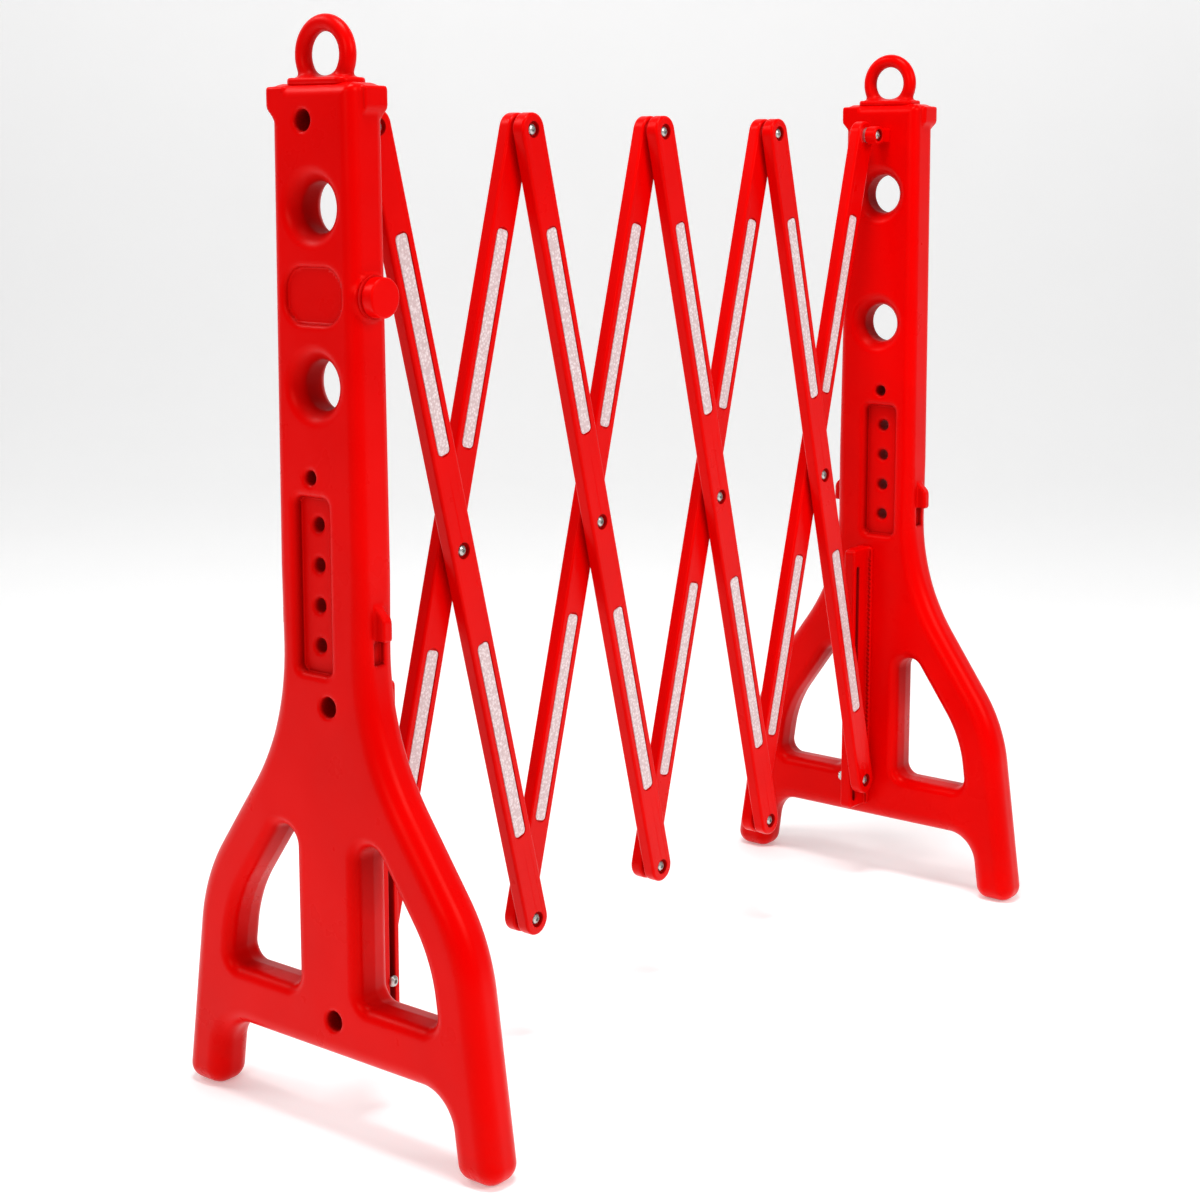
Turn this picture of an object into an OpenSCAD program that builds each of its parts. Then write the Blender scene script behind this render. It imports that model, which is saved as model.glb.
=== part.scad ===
// Expanding scissor barrier: two blow-moulded end panels joined by a lattice of crossed bars.
// X runs along the barrier, Y through its depth with the screw heads at -Y, Z up.
// The origin is on the floor under the middle of the barrier.

/* [Lattice] */
// Height of the upper row of pivots
pivot_z = 900; // [860:5:1100]
// Height of the lower row of pivots when the barrier is closed
low_pivot_z = 102; // [90:1:112]
// Angle of the bars from upright as drawn
spread_deg = 15; // [6:0.5:46]
// Angle of the bars from upright when closed
closed_deg = 4; // [4:0.5:5]
// Angle of the bars from upright when fully open
open_deg = 50; // [30:1:52]
// Number of crossed pairs of bars, each of which has its own nodes
cells = 4; // [4]

/* [Bars] */
// Width of a bar
bar_w = 32; // [28:1:38]
// Thickness of a bar
bar_t = 14; // [12:0.5:17]
// Gap between the front and rear layers of bars, filled by a washer at each pivot
layer_gap = 3; // [2:0.5:4]
// Length of a reflective strip
strip_len = 208; // [120:1:240]
// Width of a reflective strip
strip_w = 14.5; // [10:0.5:18]
// Thickness of a reflective strip
strip_t = 1; // [0.6:0.1:1.2]
// Room round a strip in its pocket
strip_room = 1; // [0.5:0.1:2]
// Depth of a strip pocket
strip_pocket = 1.5; // [1.3:0.1:2.5]

/* [Fasteners] */
// Diameter of the pivot screws and panel bolts
screw_d = 6; // [5:0.2:7.2]
// Diameter of a button head
head_d = 10.6; // [9:0.1:13]
// Height of a button head
head_h = 3.3; // [2.5:0.1:4]
// Width across the flats of a nut or bolt head
nut_af = 10; // [9:0.1:13]
// Height of a nut
nut_h = 6; // [5:0.1:7]
// Radial running clearance of a screw in its bore
run_clear = 0.05; // [0.02:0.01:0.1]
// Radial room round a head or nut in its pocket
pocket_room = 2.5; // [1.5:0.1:4]

/* [End panel] */
// Thickness of an end panel
panel_t = 44; // [40:1:54]
// Height of the panel body above the upper pivots
above_pivot = 36; // [30:1:50]
// Width of the post at its top
post_top_w = 88; // [84:1:100]
// Width of the post where the legs start to flare
post_base_w = 105; // [100:1:120]
// Height at which the legs start to flare
flare_z = 453; // [440:1:480]
// Distance between the outer edges of the feet
foot_span = 392; // [370:1:480]
// Width of a leg, square to its length
leg_w = 48; // [40:1:56]
// Width of the column between the windows
column_w = 76; // [68:1:90]
// Underside of the crossbar
arch_z = 72; // [60:1:80]
// Sill of the windows
sill_z = 128; // [120:1:140]
// Wall thickness of the hollow panel
wall = 3.5; // [2.5:0.1:5]
// Distance of the pivots from the panel's inner face
pivot_reach = 26; // [20:0.5:30]

/* [Panel features] */
// Radius of the two hand holes
hand_r = 22; // [18:0.5:24]
// Radius of the dish round a hand hole
dish_r = 32; // [28:0.5:34]
// Depth of the dish round a hand hole
dish_depth = 12; // [6:0.5:14]
// Upper hand hole below the upper pivots
hand_drop_1 = 68; // [60:1:75]
// Lower hand hole below the upper pivots
hand_drop_2 = 220; // [215:1:230]
// Filler cap below the upper pivots
filler_drop = 143; // [138:1:148]
// Diameter of the filler cap
filler_d = 35; // [30:0.5:38]
// Diameter of an access hole for a bolt
access_d = 18; // [16:0.5:21]
// Diameter of the four holes in the slotted recess
row_hole_d = 12; // [9:0.5:16]
// Distance between the four holes
row_pitch = 36; // [30:1:40]
// Width of the long recess
row_w = 40; // [34:1:44]
// Depth of the long recess in each face
row_depth = 9; // [5:0.5:11]
// Reach of a side hook
hook_reach = 11; // [8:0.5:14]
// Mean radius of the ring on top
ring_r = 26.5; // [24:0.5:32]
// Radius of the ring's round section
ring_bar_r = 7.5; // [6:0.5:9]

/* [Hidden] */

$fn = 48;
cut = 1;                                      // how far a cutter runs past the face it opens
red = [0.87, 0.02, 0.02];
zinc = [0.78, 0.78, 0.76];

// lattice
bar_len = (pivot_z - low_pivot_z) / cos(closed_deg);
cell_w = bar_len * sin(spread_deg);
drop = bar_len * cos(spread_deg);
low_z = pivot_z - drop;
mid_z = pivot_z - drop / 2;
first_x = -cells * cell_w / 2;                // the first column of end pivots
panel_x = first_x - pivot_reach - panel_t / 2; // middle plane of the left panel
inner_x = panel_t / 2;                        // inner face, from that plane
bar_end_r = bar_w / 2;
layer_y = (layer_gap + bar_t) / 2;            // middle plane of a layer
face_y = layer_gap / 2 + bar_t;               // outer faces of the two layers
shank_r = screw_d / 2;
bore_r = shank_r + run_clear;

// fasteners
head_pocket = head_h + 0.7;
nut_pocket = nut_h;
head_pocket_r = head_d / 2 + pocket_room;
nut_pocket_r = nut_af / sqrt(3) + pocket_room - 0.3;
washer_r = 9;
washer_play = 0.1;
slide_play = 0.3;                             // each side of a screw in its slot

// panel outline
panel_h = pivot_z + above_pivot;
steep = 35;                                   // lean of the thigh of a leg
shin = 8;                                     // lean of the foot
hip_r = 245;                                  // hollow curve from post to leg
knee_r = 184;
toe_r = 16;
arch_r = 34;
apex_r = 16;
sill_r = 14;
arc_steps = 6;

function dir(a) = [cos(a), sin(a)];
function arc(c, r, from, to, n = arc_steps) = [for (i = [0:n]) c + r * dir(from + (to - from) * i / n)];
// the point whose distances along two directions are p and q
function meet(a, p, b, q) = let (d = sin(b - a)) [(p * sin(b) - q * sin(a)) / d, (q * cos(a) - p * cos(b)) / d];
function mirrored(points) = [for (i = [len(points) - 1:-1:0]) [-points[i][0], points[i][1]]];

hip = [post_base_w / 2 + hip_r, flare_z];
thigh_c = hip * dir(steep) - hip_r;           // the thigh's outer line, as a distance along its normal
shin_c = [foot_span / 2, toe_r] * dir(shin);  // the shin's outer line
knee = meet(steep, thigh_c - knee_r, shin, shin_c - knee_r);

// half of the outline, drawn in by d all round
function half_outline(d = 0) = concat(
    [[post_top_w / 2 - d, panel_h - d]],
    arc(hip, hip_r + d, 180, 180 + steep),
    arc(knee, knee_r - d, steep, shin),
    arc(meet(shin, shin_c - toe_r, 90, toe_r), toe_r - d, shin, -90),
    arc(meet(shin, shin_c - leg_w + toe_r, 90, toe_r), toe_r - d, -90, shin - 180),
    arc(meet(shin, shin_c - leg_w - arch_r, 90, arch_z - arch_r), arch_r + d, shin, 90));
function outline(d = 0) = concat(half_outline(d), mirrored(half_outline(d)));

// one window, grown by d all round
function window(d = 0) = concat(
    arc([column_w / 2 + sill_r, sill_z + sill_r], sill_r + d, 180, 270),
    arc(meet(shin, shin_c - leg_w - sill_r, 90, sill_z + sill_r), sill_r + d, 270, 360 + shin),
    arc(knee, knee_r - leg_w + d, shin, steep),
    arc(meet(0, column_w / 2 + apex_r, steep, thigh_c - leg_w - apex_r), apex_r + d, steep, 180));

// half width of the post at a height
function post_half(z) = post_base_w / 2
    + (post_top_w - post_base_w) / 2 * (z - flare_z) / (panel_h - flare_z);

function round_box(w, h, r) = concat(
    arc([w / 2 - r, h / 2 - r], r, 0, 90), arc([r - w / 2, h / 2 - r], r, 90, 180),
    arc([r - w / 2, r - h / 2], r, 180, 270), arc([w / 2 - r, r - h / 2], r, 270, 360));

// panel features; the upper ones hang from the pivot row, the lower ones follow the slot
hand_zs = [pivot_z - hand_drop_1, pivot_z - hand_drop_2];
filler_z = pivot_z - filler_drop;
slot_low = low_pivot_z;
slot_high = pivot_z - bar_len * cos(open_deg);
slot_half = shank_r + slide_play;
rail_bottom = slot_low - 12;
rail_top = slot_high + 24;
rail_lip = 6.5;
rail_reach = pivot_reach + slot_half + rail_lip;
rail_bolts = [rail_bottom + 19, rail_top - 12];
bracket_bolt_z = pivot_z + 5;
row_y = layer_y - 1;
row_low = rail_top + 16;
row_count = 4;
row_h = row_pitch * row_count + 12;
row_zs = [for (i = [0:row_count - 1]) row_low + row_h / 2 + (i - (row_count - 1) / 2) * row_pitch];
eye_z = row_low + row_h + 18;                 // the plain hole over the long recess
oval = [64, 46];
oval_depth = 3;
hook_w = 11;
hook_z = row_low + 34;                        // underside of a hook
hook_tip = 12;                                // height of its tip
hook_slope = 20;                              // height of the slope above the tip
hook_pocket = 21;
hook_pocket_depth = 5;
lug_reach = 8;
lug_out = 6;                                  // how far a lug runs past the middle plane
bolt_seat = 8;                                // wall left under a bolt head
bolt_bite = 11;
cap_t = 5;
cap_size = [34, 70];
spigot = [22, 56];
spigot_h = 24;
fit_gap = 0.2;
neck_t = 3;
neck_r = filler_d / 2 + 1.5;
cap_h = 12;
seal_t = 2;
plug_r = 12;
plug_len = 12;
boss_r = 10;

module side_extrude(t) rotate([90, 0, 90]) linear_extrude(t, center = true) children();
module left() translate([panel_x, 0, 0]) children();
module right() rotate([0, 0, 180]) left() children();

// cutters through the panel, along X
module hand_holes(grow = 0) for (z = hand_zs) translate([0, 0, z]) {
    rotate([0, 90, 0]) cylinder(r = hand_r + grow, h = panel_t + 2 * cut, center = true);
    for (s = [-1, 1]) translate([s * (panel_t / 2 - dish_depth), 0, 0])
        rotate([0, 90 * s, 0]) cylinder(r1 = hand_r + grow, r2 = dish_r + grow, h = dish_depth);
}
module bolt_holes(grow = 0) for (p = concat([[layer_y, bracket_bolt_z]], [for (z = rail_bolts) [-layer_y, z]]))
    translate([-panel_t / 2 - cut, p[0], p[1]]) rotate([0, 90, 0])
        cylinder(d = access_d + 2 * grow, h = panel_t - bolt_seat + cut);
module bolt_bores() for (p = concat([[layer_y, bracket_bolt_z]], [for (z = rail_bolts) [-layer_y, z]]))
    translate([0, p[0], p[1]]) rotate([0, 90, 0]) cylinder(r = bore_r, h = panel_t);
module row_recess(grow = 0) for (s = [-1, 1])
    translate([s * (panel_t / 2 - row_depth / 2 + cut / 2), row_y, row_low + row_h / 2])
        side_extrude(row_depth + cut + 2 * grow) polygon(round_box(row_w + 2 * grow, row_h + 2 * grow, 6));
module row_holes(grow = 0) for (z = row_zs) translate([0, row_y, z]) rotate([0, 90, 0])
    cylinder(d = row_hole_d + 2 * grow, h = panel_t, center = true);
module eye_hole(grow = 0) translate([0, row_y, eye_z]) rotate([0, 90, 0])
    cylinder(d = row_hole_d + 2 * grow, h = panel_t + 2 * cut, center = true);
module filler_bore(grow = 0) translate([0, -post_half(filler_z), filler_z]) rotate([90, 0, 0])
    cylinder(r = plug_r + fit_gap + grow, h = 2 * plug_len + 8, center = true);

module panel_cavity() difference() {
    side_extrude(panel_t - 2 * wall) difference() {
        polygon(outline(wall));
        polygon(window(wall));
        polygon(mirrored(window(wall)));
    }
    hand_holes(wall);
    bolt_holes(wall);
    row_recess(wall);
    row_holes(wall);
    eye_hole(wall);
    translate([-panel_t / 2 + oval_depth + wall / 2, 0, filler_z])
        side_extrude(wall) polygon(round_box(oval[0] + 2 * wall, oval[1] + 2 * wall, 20));
    translate([0, 0, panel_h - spigot_h / 2])
        cube([spigot[0] + 2 * wall, spigot[1] + 2 * wall, spigot_h + 2 * wall], center = true);
    for (s = [-1, 1]) translate([0, s * post_half(hook_z), hook_z - hook_pocket / 2])
        cube([hook_w + 2 * wall, 2 * (hook_pocket_depth + wall), hook_pocket + 2 * wall], center = true);
    for (z = concat([bracket_bolt_z], rail_bolts)) translate([panel_t / 2, 0, z])
        cube([2 * bolt_seat, 2 * layer_y + access_d, access_d], center = true);
}

module hook(s) translate([0, 0, hook_z]) rotate([90, 0, 90]) linear_extrude(hook_w, center = true)
    polygon([[0, 0], [1, 0], [1, hook_tip], [0, hook_tip + hook_slope]] * [[s * hook_reach, 0], [0, 1]]
        + [for (i = [0:3]) [s * (post_half(hook_z) - 2 * (i == 0 || i == 3 ? 1 : 0)), 0]]);
// the lugs stand towards the inner face at -Y and towards the outer face at +Y
module lug(s) translate([-s * (inner_x - lug_out) / 2, 0, 0]) rotate([90, 0, 90])
    linear_extrude(inner_x + lug_out, center = true)
        polygon([for (p = [[-4, -31], [0, -31], [lug_reach, -21], [lug_reach, -8], [-4, -4]])
            [s * (p[0] + post_top_w / 2), panel_h + p[1]]]);

module panel() color(red) difference() {
    union() {
        side_extrude(panel_t) difference() {
            polygon(outline());
            polygon(window());
            polygon(mirrored(window()));
        }
        for (s = [-1, 1]) hook(s);
        for (s = [-1, 1]) lug(s);
        translate([0, -post_half(filler_z) - neck_t / 2, filler_z]) rotate([90, 0, 0])
            cylinder(r = neck_r, h = neck_t + 4, center = true);
    }
    panel_cavity();
    hand_holes();
    bolt_holes();
    bolt_bores();
    row_recess();
    row_holes();
    eye_hole();
    filler_bore();
    translate([-panel_t / 2, 0, filler_z]) side_extrude(2 * oval_depth) polygon(round_box(oval[0], oval[1], 18));
    translate([0, 0, panel_h]) cube([spigot[0] + 2 * fit_gap, spigot[1] + 2 * fit_gap, 2 * spigot_h], center = true);
    for (s = [-1, 1]) translate([0, s * post_half(hook_z), hook_z - hook_pocket / 2])
        cube([hook_w, 2 * hook_pocket_depth, hook_pocket], center = true);
}

module ring_cap() color(red) translate([0, 0, panel_h]) {
    translate([0, 0, cap_t + ring_r - ring_bar_r]) rotate([0, 90, 0])
        rotate_extrude() translate([ring_r, 0]) circle(r = ring_bar_r);
    translate([-cap_size[0] / 2, -cap_size[1] / 2, 0]) cube([cap_size[0], cap_size[1], cap_t]);
    translate([-spigot[0] / 2, -spigot[1] / 2, fit_gap - spigot_h]) cube([spigot[0], spigot[1], spigot_h]);
}

module filler_cap() color(red) translate([0, -post_half(filler_z) - neck_t - 2, filler_z]) rotate([90, 0, 0]) {
    translate([0, 0, seal_t]) cylinder(d = filler_d, h = cap_h);
    translate([0, 0, -plug_len]) cylinder(r = plug_r, h = plug_len + seal_t);
}
module filler_seal() color([0.12, 0.12, 0.12])
    translate([0, -post_half(filler_z) - neck_t - 2, filler_z]) rotate([90, 0, 0]) difference() {
        cylinder(r = neck_r, h = seal_t);
        translate([0, 0, -cut]) cylinder(r = plug_r + fit_gap, h = seal_t + 2 * cut);
    }

// the boss that takes the place of a bar at the upper pivot, in the rear layer
module pivot_bracket() color(red) difference() {
    translate([0, layer_y, pivot_z]) {
        rotate([90, 0, 0]) translate([inner_x + pivot_reach, 0, 0]) cylinder(r = boss_r, h = bar_t, center = true);
        translate([inner_x, -bar_t / 2, -boss_r]) cube([pivot_reach, bar_t, 2 * boss_r]);
    }
    translate([inner_x + pivot_reach, 0, pivot_z]) rotate([-90, 0, 0]) {
        cylinder(r = bore_r, h = 2 * face_y);
        translate([0, 0, face_y - head_pocket]) cylinder(r = nut_af / sqrt(3) + 1, h = head_pocket + cut);
    }
    translate([inner_x - cut, layer_y, bracket_bolt_z]) rotate([0, 90, 0]) cylinder(r = bore_r, h = bolt_bite + cut);
}

// the slotted rail, in the front layer, that guides the lower pivot
module guide_rail() color(red) difference() {
    translate([0, -layer_y, 0]) {
        translate([inner_x, -bar_t / 2, rail_bottom]) cube([rail_reach, bar_t, rail_top - rail_bottom]);
        translate([inner_x, -bar_t / 2 - 5, rail_bottom]) cube([4, bar_t + 10, rail_top - rail_bottom]);
    }
    translate([inner_x + pivot_reach, -face_y - cut, 0]) rotate([-90, 0, 0]) linear_extrude(bar_t + 2 * cut)
        polygon(concat(arc([0, -slot_high], slot_half, 180, 360), arc([0, -slot_low], slot_half, 0, 180)));
    for (z = rail_bolts) translate([inner_x - cut, -layer_y, z]) rotate([0, 90, 0])
        cylinder(r = bore_r, h = bolt_bite + cut);
}

module hex(af, h) cylinder(d = af / cos(30), h = h, $fn = 6);
module panel_bolts() color(zinc)
    for (p = concat([[layer_y, bracket_bolt_z]], [for (z = rail_bolts) [-layer_y, z]]))
        translate([inner_x - bolt_seat, p[0], p[1]]) rotate([0, 90, 0]) {
            translate([0, 0, -4]) hex(nut_af, 4);
            cylinder(r = shank_r, h = bolt_seat + bolt_bite - 1);
        }

// a bar along +X from its upper pivot, its outer face at -Y
pivots_on_bar = [0, bar_len / 2, bar_len];
module bar(pocket_r, pocket_depth) color(red) difference() {
    rotate([90, 0, 0]) linear_extrude(bar_t, center = true) polygon(concat(
        arc([bar_len, 0], bar_end_r, -90, 90, 16), arc([0, 0], bar_end_r, 90, 270, 16)));
    for (x = pivots_on_bar) translate([x, 0, 0]) rotate([90, 0, 0]) {
        cylinder(r = bore_r, h = bar_t + 2 * cut, center = true);
        translate([0, 0, bar_t / 2 - pocket_depth]) cylinder(r = pocket_r, h = pocket_depth + cut);
    }
    for (x = [bar_len / 4, bar_len * 3 / 4], s = [-1, 1])
        translate([x, s * (bar_t / 2 + cut / 2 - strip_pocket / 2), 0]) rotate([90, 0, 0])
            linear_extrude(strip_pocket + cut, center = true)
                polygon(round_box(strip_len + 4 * strip_room, strip_w + 2 * strip_room, strip_w / 2));
}
module strips() color([0.9, 0.88, 0.88])
    for (x = [bar_len / 4, bar_len * 3 / 4], s = [-1, 1])
        translate([x, s * (bar_t / 2 - strip_pocket + strip_t / 2), 0]) rotate([90, 0, 0])
            linear_extrude(strip_t, center = true) polygon(round_box(strip_len, strip_w, 4));

// a front bar leans down to the right from upper pivot i - 1, a rear bar down to the left from pivot i
module on_front(i) translate([first_x + (i - 1) * cell_w, -layer_y, pivot_z]) rotate([0, 90 - spread_deg, 0]) children();
module on_rear(i) translate([first_x + i * cell_w, layer_y, pivot_z])
    rotate([0, 90 + spread_deg, 0]) mirror([0, 1, 0]) children();

module front_bar(i) on_front(i) bar(head_pocket_r, head_pocket);
module rear_bar(i) on_rear(i) bar(nut_pocket_r, nut_pocket);
module front_strips(i) on_front(i) strips();
module rear_strips(i) on_rear(i) strips();

// a button-head screw that seats at y = 0 and runs along +Y
module screw(len) color(zinc) rotate([-90, 0, 0]) difference() {
    union() {
        cylinder(r = shank_r, h = len);
        rotate_extrude() polygon([[0, 0], [head_d / 2, 0], [head_d / 2, -1], [head_d / 2 - 0.8, -2.1],
            [head_d / 4, -head_h + 0.3], [1.2, -head_h], [0, -head_h]]);
    }
    translate([0, 0, -head_h - cut]) hex(head_d * 0.38, head_h / 2 + cut);
}
module nut() color(zinc) rotate([-90, 0, 0]) difference() {
    union() { hex(nut_af, nut_h - 1.5); cylinder(d = nut_af - 0.6, h = nut_h); }
    translate([0, 0, -cut]) cylinder(r = shank_r + 0.02, h = nut_h + 2 * cut);
}
module washer() color(zinc) translate([0, -layer_gap / 2 + washer_play / 2, 0]) rotate([-90, 0, 0]) difference() {
    cylinder(r = washer_r, h = layer_gap - washer_play);
    translate([0, 0, -cut]) cylinder(r = bore_r, h = layer_gap + 2 * cut);
}

head_y = -face_y + head_pocket;
nut_y = face_y - nut_pocket;
clamp_len = nut_y + nut_h - head_y;
function front_pivots(i) = [[first_x + (i - 1) * cell_w, pivot_z], [first_x + (i - 0.5) * cell_w, mid_z],
    [first_x + i * cell_w, low_z]];
// where the nut of each pivot of a front bar seats: in a rear bar, in the left bracket or on the right rail
bracket_nut_y = face_y - head_pocket;
rail_nut_y = face_y + slide_play;
function nut_seats(i) = [i == 1 ? bracket_nut_y : nut_y, nut_y, i == cells ? rail_nut_y : nut_y];

module front_screws(i) for (k = [0:2])
    translate([front_pivots(i)[k][0], head_y, front_pivots(i)[k][1]])
        screw(nut_seats(i)[k] + nut_h - head_y);
module front_nuts(i) for (k = [0:2])
    translate([front_pivots(i)[k][0], nut_seats(i)[k], front_pivots(i)[k][1]]) nut();
module front_washers(i) for (k = [0:2]) translate([front_pivots(i)[k][0], 0, front_pivots(i)[k][1]]) washer();

last_x = -first_x;
module slider_screw() translate([first_x, -face_y - slide_play, low_z])
    screw(nut_y + nut_h + face_y + slide_play);
module slider_nut() translate([first_x, nut_y, low_z]) nut();
module bracket_screw() translate([last_x, head_y, pivot_z]) screw(clamp_len);
module bracket_nut() translate([last_x, nut_y, pivot_z]) nut();

left() panel();  // left_panel
right() panel();  // right_panel
left() ring_cap();  // left_ring_cap
right() ring_cap();  // right_ring_cap
left() filler_cap();  // left_filler_cap
right() filler_cap();  // right_filler_cap
left() filler_seal();  // left_filler_seal
right() filler_seal();  // right_filler_seal
left() pivot_bracket();  // left_pivot_bracket
right() pivot_bracket();  // right_pivot_bracket
left() guide_rail();  // left_guide_rail
right() guide_rail();  // right_guide_rail
left() panel_bolts();  // left_panel_bolts
right() panel_bolts();  // right_panel_bolts
for (i = [1:cells]) {
    front_bar(i);
    rear_bar(i);
    front_strips(i);
    rear_strips(i);
    front_screws(i);
    front_nuts(i);
    front_washers(i);
}
slider_screw();
slider_nut();
bracket_screw();
bracket_nut();
translate([first_x, 0, low_z]) washer();  // slider_washer
translate([last_x, 0, pivot_z]) washer();  // bracket_washer
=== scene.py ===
import math

import bpy
import numpy as np
from mathutils import Matrix, Vector
from mathutils.geometry import tessellate_polygon


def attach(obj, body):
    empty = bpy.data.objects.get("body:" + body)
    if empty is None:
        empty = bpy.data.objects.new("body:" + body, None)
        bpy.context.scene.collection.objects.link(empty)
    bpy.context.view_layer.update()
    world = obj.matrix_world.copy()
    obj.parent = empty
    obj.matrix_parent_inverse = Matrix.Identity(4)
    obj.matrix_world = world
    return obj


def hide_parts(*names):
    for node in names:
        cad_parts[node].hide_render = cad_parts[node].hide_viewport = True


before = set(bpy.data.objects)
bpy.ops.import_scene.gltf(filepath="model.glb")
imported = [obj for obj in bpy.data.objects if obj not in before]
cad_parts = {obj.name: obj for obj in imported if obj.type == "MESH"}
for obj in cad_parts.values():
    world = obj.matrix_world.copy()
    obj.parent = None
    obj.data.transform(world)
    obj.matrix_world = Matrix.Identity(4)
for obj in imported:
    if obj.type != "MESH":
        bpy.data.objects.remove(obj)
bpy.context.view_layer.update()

# Sizes in millimetres, as in the CAD source
PIVOT_Z, TOP_Z = 900.0, 936.0
HALF_T = 22.0
BAR_L, BAR_W, BAR_T = 798 / math.cos(math.radians(4)), 32.0, 14.0
REST = math.radians(15)
CELL = BAR_L * math.sin(REST)
LAYER = 8.5
PIVOT_REACH, SLOT_LOW = 26, 102
PANEL_X = -2 * CELL - PIVOT_REACH - HALF_T
RAIL_TOP = PIVOT_Z - BAR_L * math.cos(math.radians(50)) + 24
RAIL_LOW = 90.0
ROW_LOW, ROW_H, ROW_Y = RAIL_TOP + 16, 156.0, 7.5
HANDS = (PIVOT_Z - 68, PIVOT_Z - 220)
FILLER_Z = PIVOT_Z - 143
HOOK_Z, HOOK_REACH, HOOK_HALF_W = ROW_LOW + 34, 10.7, 5.5
RING_R, RING_BAR_R = 26.5, 7.4
HAND_R, DISH_R, ACCESS_R, ROW_HOLE_R, ROW_PITCH = 22, 32, 9, 6, 36
BOLTS = [(LAYER, PIVOT_Z + 5), (-LAYER, RAIL_LOW + 19), (-LAYER, RAIL_TOP - 12)]


# ---- distance fields ----
def smax(a, b, k):
    """Larger of two distances, blended over k."""
    return np.maximum(a, b) + np.maximum(k - np.abs(a - b), 0) ** 2 / (4 * k)


def smin(a, b, k):
    return -smax(-a, -b, k)


def rmax(a, b, r):
    """Larger of two distances, with a true round edge of radius r between them."""
    u, v = a + r, b + r
    return np.minimum(np.maximum(u, v), 0) + np.hypot(np.maximum(u, 0), np.maximum(v, 0)) - r


def rbox(u, v, half_u, half_v, r):
    """Signed distance to a rectangle with round corners."""
    qu, qv = np.abs(u) - half_u + r, np.abs(v) - half_v + r
    return np.hypot(np.maximum(qu, 0), np.maximum(qv, 0)) + np.minimum(np.maximum(qu, qv), 0) - r


def meet(a, p, b, q):
    """The point at distances p and q along the directions a and b, in degrees."""
    a, b = math.radians(a), math.radians(b)
    d = math.sin(b - a)
    return ((p * math.sin(b) - q * math.sin(a)) / d, (q * math.cos(a) - p * math.cos(b)) / d)


def along(p, a):
    """How far a point lies along direction a, in degrees."""
    return p[0] * math.cos(math.radians(a)) + p[1] * math.sin(math.radians(a))


def chain(arcs, y, z, first=None, last=None):
    """Signed distance to a row of arcs joined by straight lines, with material on the right."""
    best = np.full(y.shape, 1e6)

    def keep(best, d, valid):
        return np.where(valid & (np.abs(d) < np.abs(best)), d, best)

    def end(c, r, a):
        return (c[0] + r * math.cos(math.radians(a)), c[1] + r * math.sin(math.radians(a)))

    points = [first]
    for c, r, a0, a1 in arcs:
        dy, dz = y - c[0], z - c[1]
        middle, half = math.radians((a0 + a1) / 2), math.radians(abs(a1 - a0) / 2)
        turn = np.abs((np.arctan2(dz, dy) - middle + math.pi) % (2 * math.pi) - math.pi)
        d = np.hypot(dy, dz) - r
        best = keep(best, d if a1 < a0 else -d, turn <= half + 0.02)
        points += [end(c, r, a0), end(c, r, a1)]
    points.append(last)
    if first is None:
        points = points[1:-1]
        points = [points[-1]] + points[:-1]
    for p, q in zip(points[::2], points[1::2]):
        ly, lz = q[0] - p[0], q[1] - p[1]
        n = math.hypot(ly, lz)
        if n < 1e-6:
            continue
        t = ((y - p[0]) * ly + (z - p[1]) * lz) / n
        d = (-(y - p[0]) * lz + (z - p[1]) * ly) / n
        best = keep(best, d, (t >= -1e-6) & (t <= n + 1e-6))
    return best


# The panel's outline and leg window: rows of (centre, radius, first angle, last angle)
STEEP, SHIN, LEG, TOE = 35, 8, 48.0, 16.0
SHOULDER_HALF, SHOULDER_Z, HIP_R, KNEE_R = 52.5, 453.0, 245, 184
HIP = (SHOULDER_HALF + HIP_R, SHOULDER_Z)
THIGH = along(HIP, STEEP) - HIP_R
SHIN_C = along((196, TOE), SHIN)
KNEE = meet(STEEP, THIGH - KNEE_R, SHIN, SHIN_C - KNEE_R)
OUTLINE = [
    (HIP, HIP_R, 180, 180 + STEEP),
    (KNEE, KNEE_R, STEEP, SHIN),
    (meet(SHIN, SHIN_C - TOE, 90, TOE), TOE, SHIN, -90),
    (meet(SHIN, SHIN_C - LEG + TOE, 90, TOE), TOE, -90, SHIN - 180),
    (meet(SHIN, SHIN_C - LEG - 34, 90, 38), 34, SHIN, 90),
]
WINDOW = [
    ((52.0, 142.0), 14, 180, 270),
    (meet(SHIN, SHIN_C - LEG - 14, 90, 142), 14, 270, 360 + SHIN),
    (KNEE, KNEE_R - LEG, SHIN, STEEP),
    (meet(0, 54, STEEP, THIGH - LEG - 16), 16, STEEP, 180),
]


def post_half(z):
    """Half the post's width, which narrows upwards."""
    return SHOULDER_HALF - 8.5 * (z - SHOULDER_Z) / (TOP_Z - SHOULDER_Z)


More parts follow.
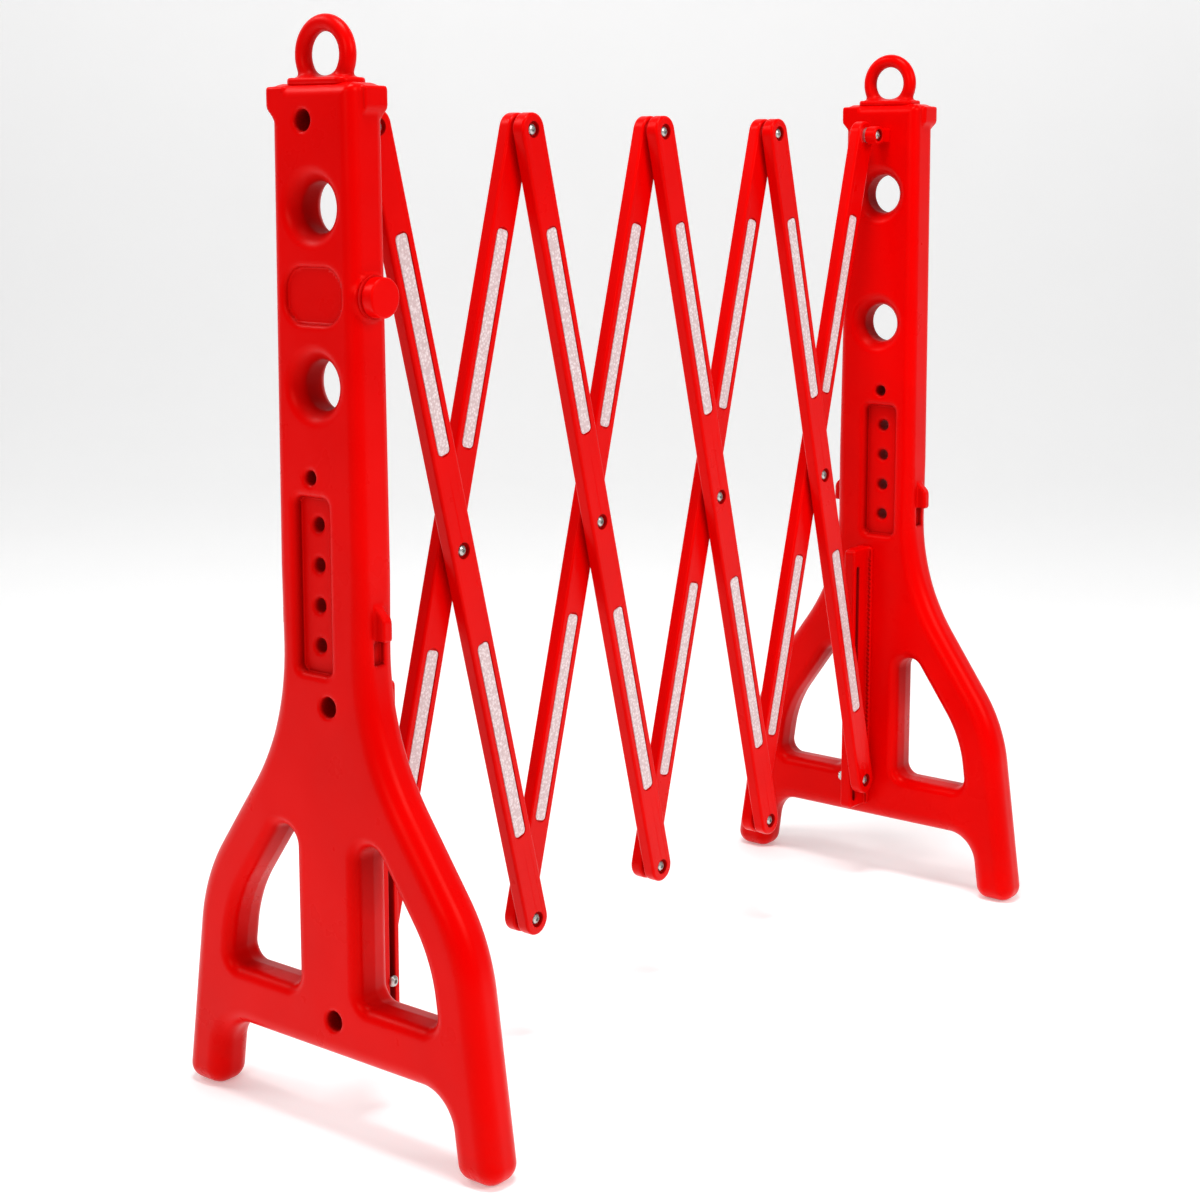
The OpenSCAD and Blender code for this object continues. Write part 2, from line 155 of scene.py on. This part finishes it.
def panel_field(x, y, z):
    """An end panel; x is from its middle plane, with the lattice at +x."""
    ay, ax = np.abs(y), np.abs(x)
    slab = ax - HALF_T
    shape = rmax(chain(OUTLINE, ay, z, (44, 1400), (0, 72)), z - TOP_Z, 7)
    edge = 12 + 6 * np.clip((520 - z) / 160, 0, 1)
    d = rmax(shape, slab, edge)
    lug = smax(smax(ay - 51.8, (ay - 44 - z + 907) / 1.41, 2), z - 933.5, 2.5)
    d = smin(d, smax(smax(lug, 30 - ay, 2), np.abs(x + np.sign(y) * 8) - 14, 2.5), 2.5)
    out = ay - post_half(HOOK_Z)
    hook = np.maximum(HOOK_Z - z, smax(out - HOOK_REACH, (out + z - HOOK_Z - 31) / 1.41, 3))
    d = smin(d, smax(smax(hook, -out - 8, 2), ax - HOOK_HALF_W, 2), 2.5)
    neck = np.hypot(x, z - FILLER_Z)
    d = smin(d, smax(smax(neck - 19, -y - post_half(FILLER_Z) - 3, 2), 20 + y, 2), 4)
    d = np.maximum(d, rmax(chain(WINDOW, ay, z) + 0.12 * ax - 1.5, slab, 10))
    for h in HANDS:
        rr = np.hypot(y, z - h)
        d = smax(d, HAND_R + (DISH_R - HAND_R) * np.clip((ax - 8) / 14, 0, 1.3) ** 1.5 - rr, 5)
    d = smax(d, -np.maximum(rbox(y, z - FILLER_Z, 33, 24, 20), x + HALF_T - 4.5), 6)
    for by, bz in BOLTS:
        rr = np.hypot(y - by, z - bz)
        d = smax(d, -np.maximum(rr - ACCESS_R, x - 14), 4)
    row = np.maximum(rbox(y - ROW_Y, z - ROW_LOW - ROW_H / 2, 20, ROW_H / 2, 7), HALF_T - 9 - ax)
    d = smax(d, -row, 8)
    for i in range(4):
        rr = np.hypot(y - ROW_Y, z - ROW_LOW - ROW_H / 2 - (i - 1.5) * ROW_PITCH)
        d = smax(d, ROW_HOLE_R - rr, 5)
    d = smax(d, ROW_HOLE_R - np.hypot(y - ROW_Y, z - ROW_LOW - ROW_H - 18), 5)
    pocket = np.maximum(np.maximum(ax - HOOK_HALF_W, np.abs(z - HOOK_Z + 10.5) - 10.5), -out - 5)
    return smax(d, -pocket, 2.5)


def ring_field(x, y, z):
    """The ring and the plate that it stands on."""
    ring = np.hypot(np.hypot(y, z - TOP_Z - 24) - RING_R, x) - RING_BAR_R
    plate = smax(rbox(x, y, 17, 35, 9), np.abs(z - TOP_Z - 1.5) - 3.2, 3)
    return smin(ring, plate, 7)


def bracket_field(x, y, z):
    """The boss at the upper pivot and its neck, in a panel's frame."""
    u, w, side = x - HALF_T - PIVOT_REACH, z - PIVOT_Z, np.abs(y - LAYER) - 7
    barrel = rmax(np.hypot(u, w) - 10, side, 1.5)
    neck = rmax(np.maximum(np.abs(w) - 8, u), side + 0.8, 2)
    d = np.maximum(smin(barrel, neck, 4), HALF_T - x)
    return smax(d, -np.maximum(np.hypot(u, w) - 6.8, 11.5 - y), 1)


def rail_field(x, y, z):
    """The slotted rail with its base flange and row of teeth, in a panel's frame."""
    u, side = x - HALF_T, np.abs(y + LAYER)
    mid, half = (RAIL_LOW + RAIL_TOP) / 2, (RAIL_TOP - RAIL_LOW) / 2
    d = rmax(rbox(u - 8, z - mid, 27.8, half, 6), side - 7, 2.2)
    d = smin(d, rmax(rbox(side, z - mid, 12, half, 4), u - 4, 1.5), 3)
    tooth = np.maximum(np.abs((z - RAIL_LOW) % 5.5 - 2.75) - 1.2, np.abs(z - mid) - half + 12)
    d = smin(d, smax(np.maximum(np.abs(y - 1.0) - 1.6, tooth), u - 5.0, 0.8), 0.8)
    slot = np.hypot(u - PIVOT_REACH, z - np.clip(z, SLOT_LOW, RAIL_TOP - 24)) - 3.3
    return np.maximum(smax(d, -slot, 1), -u)


def surface(name, field, lo, hi, step):
    """A smooth mesh of where a field is zero, by surface nets, in metres."""
    ax = [np.arange(a, b + step, step) for a, b in zip(lo, hi)]
    d = np.concatenate([field(*np.meshgrid([v], ax[1], ax[2], indexing="ij")) for v in ax[0]])
    s = d < 0
    n = np.array(d.shape) - 1
    corner = lambda a, i, j, k: a[i : i + n[0], j : j + n[1], k : k + n[2]]
    offs = [(i, j, k) for i in (0, 1) for j in (0, 1) for k in (0, 1)]
    total = sum(corner(s, *o).astype(np.int8) for o in offs)
    live = np.argwhere((total > 0) & (total < 8))
    ids = -np.ones(n, np.int64)
    ids[tuple(live.T)] = np.arange(len(live))
    acc, cnt = np.zeros((len(live), 3)), np.zeros(len(live))
    for o in offs:
        for a in range(3):
            if o[a]:
                continue
            e = list(o)
            e[a] = 1
            d0, d1 = d[tuple((live + o).T)], d[tuple((live + e).T)]
            hit = (d0 < 0) != (d1 < 0)
            t = np.where(hit, d0 / np.where(hit, d0 - d1, 1), 0)
            p = live + np.array(o, float)
            p[:, a] += t
            acc += p * hit[:, None]
            cnt += hit
    pts = np.array(lo) + acc / cnt[:, None] * step
    quads = []
    for a in range(3):
        b, c = (a + 1) % 3, (a + 2) % 3
        sl0, sl1 = [slice(None)] * 3, [slice(None)] * 3
        sl0[a], sl1[a] = slice(0, -1), slice(1, None)
        first, second = s[tuple(sl0)], s[tuple(sl1)]
        e = np.argwhere(first != second)
        e = e[(e[:, b] > 0) & (e[:, c] > 0) & (e[:, b] < n[b]) & (e[:, c] < n[c])]
        flip = first[tuple(e.T)]
        ub, uc = np.eye(3, dtype=int)[b], np.eye(3, dtype=int)[c]
        q = np.stack([ids[tuple((e - ub * i - uc * j).T)] for i, j in ((0, 0), (1, 0), (1, 1), (0, 1))], 1)
        q[~flip] = q[~flip][:, ::-1]
        quads.append(q)
    quads = np.concatenate(quads)

    def slope(p):
        h = 0.25
        g = np.zeros_like(p)
        for a in range(3):
            o = np.zeros(3)
            o[a] = h
            g[:, a] = (field(*(p + o).T) - field(*(p - o).T)) / (2 * h)
        return g

    for _ in range(3):
        g = slope(pts)
        move = field(*pts.T)[:, None] * g / np.maximum((g**2).sum(1), 0.25)[:, None]
        pts -= np.clip(move, -0.4 * step, 0.4 * step)
    g = slope(pts)
    g /= np.maximum(np.linalg.norm(g, axis=1), 1e-6)[:, None]
    mesh = bpy.data.meshes.new(name)
    mesh.from_pydata((pts / 1000).tolist(), [], quads.tolist())
    mesh.polygons.foreach_set("use_smooth", np.ones(len(quads), bool))
    mesh.normals_split_custom_set_from_vertices(g.tolist())
    mesh.update()
    o = bpy.data.objects.new(name, mesh)
    bpy.context.scene.collection.objects.link(o)
    return o


# ---- lofted meshes ----
def mesh_object(name, verts, faces, sharp=35):
    mesh = bpy.data.meshes.new(name)
    mesh.from_pydata([tuple(c / 1000 for c in v) for v in verts], [], faces)
    mesh.polygons.foreach_set("use_smooth", [True] * len(faces))
    mesh.set_sharp_from_angle(angle=math.radians(sharp))
    o = bpy.data.objects.new(name, mesh)
    bpy.context.scene.collection.objects.link(o)
    m = o.modifiers.new("normals", "WEIGHTED_NORMAL")
    m.keep_sharp = True
    return o


def loop(cu, cv, half_u, half_v, r, n=10):
    """A rectangle with round corners, anticlockwise."""
    r = max(min(r, half_u, half_v), 0.01)
    out = []
    for q, (su, sv) in enumerate(((1, 1), (-1, 1), (-1, -1), (1, -1))):
        for i in range(n + 1):
            a = math.radians(90 * q + 90 * i / n)
            out.append((cu + su * (half_u - r) + r * math.cos(a), cv + sv * (half_v - r) + r * math.sin(a)))
    return out


class Build:
    """Collects rings of points, in (along, across, out) order."""

    def __init__(self):
        self.v, self.f = [], []

    def ring(self, pts, w):
        start = len(self.v)
        self.v += [(p[0], p[1], w) for p in pts]
        return list(range(start, len(self.v)))

    def join(self, a, b):
        n = len(a)
        self.f += [(a[i], a[(i + 1) % n], b[(i + 1) % n], b[i]) for i in range(n)]

    def fill(self, outer, holes=(), up=True):
        rings = [outer, *holes]
        flat = [i for r in rings for i in r]
        tris = tessellate_polygon([[Vector((*self.v[i][:2], 0)) for i in r] for r in rings])
        for t in tris:
            a, b, c = (flat[i] for i in t)
            p, q, r = self.v[a], self.v[b], self.v[c]
            ccw = (q[0] - p[0]) * (r[1] - p[1]) - (q[1] - p[1]) * (r[0] - p[0]) > 0
            self.f.append((a, b, c) if ccw == up else (a, c, b))


def bar_mesh(name, pocket_r, pocket_d):
    """A lattice bar along +x from its upper pivot, with its outer face at +z."""
    b = Build()
    half, wid, t, e = BAR_L / 2 + 16, BAR_W / 2, BAR_T / 2, 2.6
    steps = [90 * i / 5 for i in range(6)]
    rings = {}
    for side in (1, -1):
        rows = []
        for a in steps:
            i = e * (1 - math.cos(math.radians(a)))
            w = t - e + e * math.sin(math.radians(a))
            rows.append(b.ring(loop(BAR_L / 2, 0, half - i, wid - i, wid - i), side * w))
        for p, q in zip(rows, rows[1:]):
            b.join(*((p, q) if side > 0 else (q, p)))
        rings[side] = rows
    b.join(rings[-1][0], rings[1][0])
    for side in (1, -1):
        holes = []

        def sunk(cu, cv, hu, hv, r, depth, floor):
            """A pocket with a softened rim."""
            seq = [(0.7, 0), (0.2, 0.2), (0, 0.7), (0, depth - 0.4), (-0.4, depth)]
            rows = [b.ring(loop(cu, cv, hu + g, hv + g, r + g), side * (t - s)) for g, s in seq]
            for p, q in zip(rows, rows[1:]):
                b.join(*((q, p) if side < 0 else (p, q)))
            if floor:
                b.fill(rows[-1], up=side > 0)
            holes.append(rows[0])
            return rows[-1]

        for u in (BAR_L / 4, BAR_L * 3 / 4):
            sunk(u, 0, 106, 8.25, 7.25, 1.5, True)
        for u in (0, BAR_L / 2, BAR_L):
            if side > 0:
                sunk(u, 0, pocket_r, pocket_r, pocket_r, pocket_d, True)
        b.fill(rings[side][-1], holes, up=side > 0)
    return mesh_object(name, b.v, b.f)


def lathe(name, profile, n=72):
    """Turned about +z from (radius, height) points, first and last on the axis."""
    v, f = [], []
    for r, h in profile:
        v += [(r * math.cos(2 * math.pi * i / n), r * math.sin(2 * math.pi * i / n), h) for i in range(n)]
    for k in range(len(profile) - 1):
        for i in range(n):
            j = (i + 1) % n
            f.append((k * n + i, k * n + j, k * n + n + j, k * n + n + i))
    return mesh_object(name, v, f, 50)


# ---- materials ----
class Nodes:
    def __init__(self, name, **shader):
        self.m = bpy.data.materials.new(name)
        self.m.use_nodes = True
        self.t = self.m.node_tree
        self.s = self.t.nodes["Principled BSDF"]
        self.c = self.add("ShaderNodeTexCoord").outputs["Object"]
        for k, v in shader.items():
            self.s.inputs[k.replace("_", " ")].default_value = v

    def add(self, kind, **values):
        n = self.t.nodes.new(kind)
        for k, v in values.items():
            if hasattr(n, k):
                setattr(n, k, v)
            else:
                n.inputs[k.replace("_", " ")].default_value = v
        return n

    def link(self, a, b):
        self.t.links.new(a, b)

    def noise(self, scale, detail=3.0, rough=0.5):
        n = self.add("ShaderNodeTexNoise", Scale=scale, Detail=detail, Roughness=rough)
        self.link(self.c, n.inputs["Vector"])
        return n.outputs["Fac"]

    def spread(self, fac, lo, hi, to0, to1):
        n = self.add("ShaderNodeMapRange")
        for i, v in zip(("From Min", "From Max", "To Min", "To Max"), (lo, hi, to0, to1)):
            n.inputs[i].default_value = v
        self.link(fac, n.inputs["Value"])
        return n.outputs["Result"]

    def mix(self, fac, a, b):
        n = self.add("ShaderNodeMix", data_type="RGBA")
        for s, v in (("Factor", fac), ("A", a), ("B", b)):
            socket = [i for i in n.inputs if i.name == s and (s == "Factor" or i.type == "RGBA")][0]
            if isinstance(v, tuple):
                socket.default_value = (*v, 1)
            else:
                self.link(v, socket)
        return [o for o in n.outputs if o.type == "RGBA"][0]

    def maths(self, op, a, b):
        n = self.add("ShaderNodeMath", operation=op)
        for i, v in enumerate((a, b)):
            if isinstance(v, (int, float)):
                n.inputs[i].default_value = v
            else:
                self.link(v, n.inputs[i])
        return n.outputs[0]

    def bump(self, height, distance, strength=1.0, below=None):
        n = self.add("ShaderNodeBump", Strength=strength, Distance=distance)
        self.link(height, n.inputs["Height"])
        if below:
            self.link(below, n.inputs["Normal"])
        return n.outputs["Normal"]


def red_plastic(name, waviness):
    """Dust near the floor, fine scuffs, and painted shade: darker colour, and duller plastic, where ambient
    occlusion finds the surface sheltered.
    """
    n = Nodes(name, Specular_Tint=(1.0, 0.2, 0.15, 1.0), IOR=1.3, Specular_IOR_Level=0.35)
    tone = n.mix(n.spread(n.noise(7, 2), 0.35, 0.65, 0, 1), (0.72, 0.0, 0.0), (0.65, 0.0, 0.0))
    sep = n.add("ShaderNodeSeparateXYZ")
    n.link(n.c, sep.inputs[0])
    near_floor = n.spread(sep.outputs["Z"], 0.0, 0.07, 1, 0)
    dust = n.maths("MULTIPLY", near_floor, n.spread(n.noise(45, 5, 0.65), 0.4, 0.7, 0, 0.3))
    scratches = n.spread(n.noise(260, 6, 0.75), 0.66, 0.75, 0, 0.12)
    scuff = n.maths("MULTIPLY", scratches, n.spread(n.noise(6, 2), 0.5, 0.65, 0, 1))
    colour = n.mix(dust, tone, (0.45, 0.012, 0.01))
    # Painted shade: the colour is darkened toward dark red (0.22, 0, 0) in recesses and between parts, where
    # ambient occlusion finds shelter; the same mask also raises roughness there
    painted_shade_ao = n.add("ShaderNodeAmbientOcclusion", Distance=0.06)
    painted_shade_ao.samples, painted_shade_ao.only_local = 6, True
    painted_shade = n.spread(painted_shade_ao.outputs["AO"], 0.3, 0.95, 0.9, 0)
    colour = n.mix(painted_shade, colour, (0.22, 0.0, 0.0))
    n.link(n.mix(scuff, colour, (0.70, 0.015, 0.012)), n.s.inputs["Base Color"])
    rough = n.maths("ADD", n.spread(n.noise(24, 4), 0.3, 0.7, 0.26, 0.34), scuff)
    n.link(n.maths("ADD", rough, n.maths("MULTIPLY", painted_shade, 0.45)), n.s.inputs["Roughness"])
    peel = n.bump(n.noise(420, 2), 0.00008, 0.4)
    n.link(n.bump(n.noise(18, 1), waviness, 1.0, peel), n.s.inputs["Normal"])
    return n.m


def reflective_sheet():
    n = Nodes("reflective_sheet", Coat_Weight=0.3, Coat_Roughness=0.2)
    cells = n.add("ShaderNodeTexVoronoi", Scale=330)
    n.link(n.c, cells.inputs["Vector"])
    near = n.spread(cells.outputs["Distance"], 0.1, 0.6, 0, 1)
    base = n.mix(near, (0.84, 0.72, 0.72), (0.60, 0.44, 0.44))
    speck = n.spread(n.noise(900, 1), 0.62, 0.7, 0, 0.7)
    n.link(n.mix(speck, base, (0.88, 0.80, 0.80)), n.s.inputs["Base Color"])
    n.link(n.spread(n.noise(200, 2), 0.3, 0.7, 0.3, 0.5), n.s.inputs["Roughness"])
    n.link(n.bump(near, 0.0002, 0.6), n.s.inputs["Normal"])
    return n.m


def zinc_metal():
    n = Nodes("zinc_metal", Metallic=1.0)
    n.link(n.mix(n.noise(260, 3), (0.42, 0.42, 0.41), (0.58, 0.57, 0.53)), n.s.inputs["Base Color"])
    n.link(n.spread(n.noise(500, 4), 0.3, 0.7, 0.22, 0.45), n.s.inputs["Roughness"])
    n.link(n.bump(n.noise(1500, 2), 0.00005, 0.5), n.s.inputs["Normal"])
    return n.m


def rubber():
    n = Nodes("seal_rubber", Specular_Tint=(1.0, 0.3, 0.24, 1.0), IOR=1.3)
    n.link(n.mix(n.noise(200, 3), (0.60, 0.0, 0.0), (0.52, 0.0, 0.0)), n.s.inputs["Base Color"])
    n.link(n.spread(n.noise(300, 3), 0.3, 0.7, 0.5, 0.7), n.s.inputs["Roughness"])
    n.link(n.bump(n.noise(700, 2), 0.0001, 0.4), n.s.inputs["Normal"])
    return n.m


PANEL_RED = red_plastic("blow_moulded_red", 0.0008)
BAR_RED = red_plastic("moulded_red", 0.0002)
SHEET, ZINC, RUBBER = reflective_sheet(), zinc_metal(), rubber()


def paint(o, material):
    o.data.materials.clear()
    o.data.materials.append(material)


for node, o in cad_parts.items():
    if "strips" in node:
        paint(o, SHEET)
    elif any(w in node for w in ("screw", "nut", "washer", "bolts")):
        paint(o, ZINC)
    elif "seal" in node:
        paint(o, RUBBER)
    else:
        paint(o, BAR_RED)


def piece(o, body, node, material):
    """Ties a finished mesh to its body and to the CAD node that it replaces."""
    paint(o, material)
    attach(o, body)
    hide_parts(node)


TURN = Matrix.Rotation(math.pi, 4, "Z")
# (radius, height) from the seat: the plug, then the cap with its rounded rim
FILLER_PROFILE = [(0.01, -12), (12, -12), (12, 2), (16.6, 2), (17.5, 2.9), (17.5, 12.4)]
FILLER_PROFILE += [(17.1, 13.3), (16.2, 13.9), (15.2, 14), (0.01, 14)]


def place(o, turned):
    """From a panel's frame to the left end, or half a turn on to the right end."""
    o.data.transform(Matrix.Translation((PANEL_X / 1000, 0, 0)))
    if turned:
        o.data.transform(TURN)


step = 2.6
for side, turned in (("left", False), ("right", True)):
    o = surface(f"{side}_moulding", panel_field, (-25, -202, -4), (26, 202, 943), step)
    place(o, turned)
    piece(o, f"{side}_end", f"{side}_panel", PANEL_RED)
    o = surface(f"{side}_ring", ring_field, (-20, -46, TOP_Z - 6), (20, 46, TOP_Z + 64), 1.4)
    place(o, turned)
    piece(o, f"{side}_end", f"{side}_ring_cap", PANEL_RED)
    o = surface(f"{side}_bracket", bracket_field, (20, 0, PIVOT_Z - 12), (60, 17, PIVOT_Z + 12), 0.9)
    place(o, turned)
    piece(o, f"{side}_end", f"{side}_pivot_bracket", BAR_RED)
    o = surface(f"{side}_rail", rail_field, (20, -23, RAIL_LOW - 3), (60, 6, RAIL_TOP + 3), 2 * step / 5)
    place(o, turned)
    piece(o, f"{side}_end", f"{side}_guide_rail", BAR_RED)
    o = lathe(f"{side}_filler", FILLER_PROFILE)
    seat = Matrix.Translation((0, (-post_half(FILLER_Z) - 5) / 1000, FILLER_Z / 1000))
    o.data.transform(seat @ Matrix.Rotation(math.pi / 2, 4, "X"))
    place(o, turned)
    piece(o, f"{side}_filler", f"{side}_filler_cap", PANEL_RED)

for i in range(1, 5):
    for layer, s in (("front", 1), ("rear", -1)):
        o = bar_mesh(f"{layer}_link_bar_{i}", *((7.8, 4.0) if s > 0 else (8.0, 6.0)))
        top = -2 * CELL + (i - 1 if s > 0 else i) * CELL
        way = Vector((s * math.sin(REST), 0, -math.cos(REST)))
        out = Vector((0, -s, 0))
        cross = out.cross(way)
        m = Matrix((way, cross, out)).transposed().to_4x4()
        m.translation = Vector((top, -s * LAYER, PIVOT_Z)) / 1000
        o.data.transform(m)
        piece(o, f"{layer}_link_{i}", f"{layer}_bar_{i}", BAR_RED)

# ---- stage ----
floor = Nodes("studio_floor", Roughness=0.6, Emission_Color=(1, 1, 1, 1), Emission_Strength=0.25)
floor.link(floor.mix(floor.noise(3, 2), (0.90, 0.90, 0.90), (0.88, 0.88, 0.88)), floor.s.inputs["Base Color"])
FLOOR_END, COVE_R, WALL_TOP = 3.2, 1.5, 7.0
profile = [(-9.0, 0.0), (FLOOR_END, 0.0)]
for a in range(10, 91, 10):
    t = math.radians(a)
    profile.append((FLOOR_END + COVE_R * math.sin(t), COVE_R - COVE_R * math.cos(t)))
profile.append((FLOOR_END + COVE_R, WALL_TOP))
verts = [(x, y, z) for x in (-12, 12) for y, z in profile]
n = len(profile)
mesh = bpy.data.meshes.new("backdrop")
mesh.from_pydata(verts, [], [(i, i + 1, n + i + 1, n + i)[::-1] for i in range(n - 1)])
mesh.polygons.foreach_set("use_smooth", [True] * (n - 1))
backdrop = bpy.data.objects.new("backdrop", mesh)
bpy.context.scene.collection.objects.link(backdrop)
backdrop.rotation_euler = (0, 0, math.radians(-52))
paint(backdrop, floor.m)

world = bpy.data.worlds.new("studio")
bpy.context.scene.world = world
world.use_nodes = True
background = world.node_tree.nodes["Background"]
background.inputs[0].default_value = (1, 1, 1, 1)
# 0.24 as light, and 0.34 more where the camera sees the world itself
seen = world.node_tree.nodes.new("ShaderNodeLightPath")
level = world.node_tree.nodes.new("ShaderNodeMath")
level.operation = "MULTIPLY_ADD"
level.inputs[1].default_value, level.inputs[2].default_value = 0.34, 0.24
world.node_tree.links.new(seen.outputs["Is Camera Ray"], level.inputs[0])
world.node_tree.links.new(level.outputs[0], background.inputs[1])


def softbox(name, place, target, size, power):
    light = bpy.data.lights.new(name, "AREA")
    light.shape, light.size, light.size_y, light.energy = "RECTANGLE", size[0], size[1], power
    o = bpy.data.objects.new(name, light)
    bpy.context.scene.collection.objects.link(o)
    o.location = place
    o.rotation_euler = (Vector(target) - Vector(place)).to_track_quat("-Z", "Y").to_euler()


softbox("key", (0.3, -3.2, 2.4), (0, 0, 0.5), (1.4, 1.4), 60)
softbox("top", (-0.5, -0.3, 3.3), (0, 0, 0.5), (1.1, 0.6), 66)
softbox("fill", (-3.4, -0.9, 1.9), (0, 0, 0.5), (1.2, 1.2), 32)
softbox("back", (-1.7, 2.4, 3.2), (0, 0, 0.3), (1.2, 1.2), 30)

cam_data = bpy.data.cameras.new("camera")
cam_data.sensor_width, cam_data.lens, cam_data.shift_y = 36.0, 64.85, -0.0833
cam = bpy.data.objects.new("camera", cam_data)
bpy.context.scene.collection.objects.link(cam)
cam.location = (-1.7798, -1.3380, 0.8721)
a, p = math.radians(38.34), math.radians(8.95)
sight = Vector((math.cos(a) * math.cos(p), math.sin(a) * math.cos(p), -math.sin(p)))
cam.rotation_euler = sight.to_track_quat("-Z", "Y").to_euler()
bpy.context.scene.camera = cam
bpy.context.scene.view_settings.view_transform = "Standard"
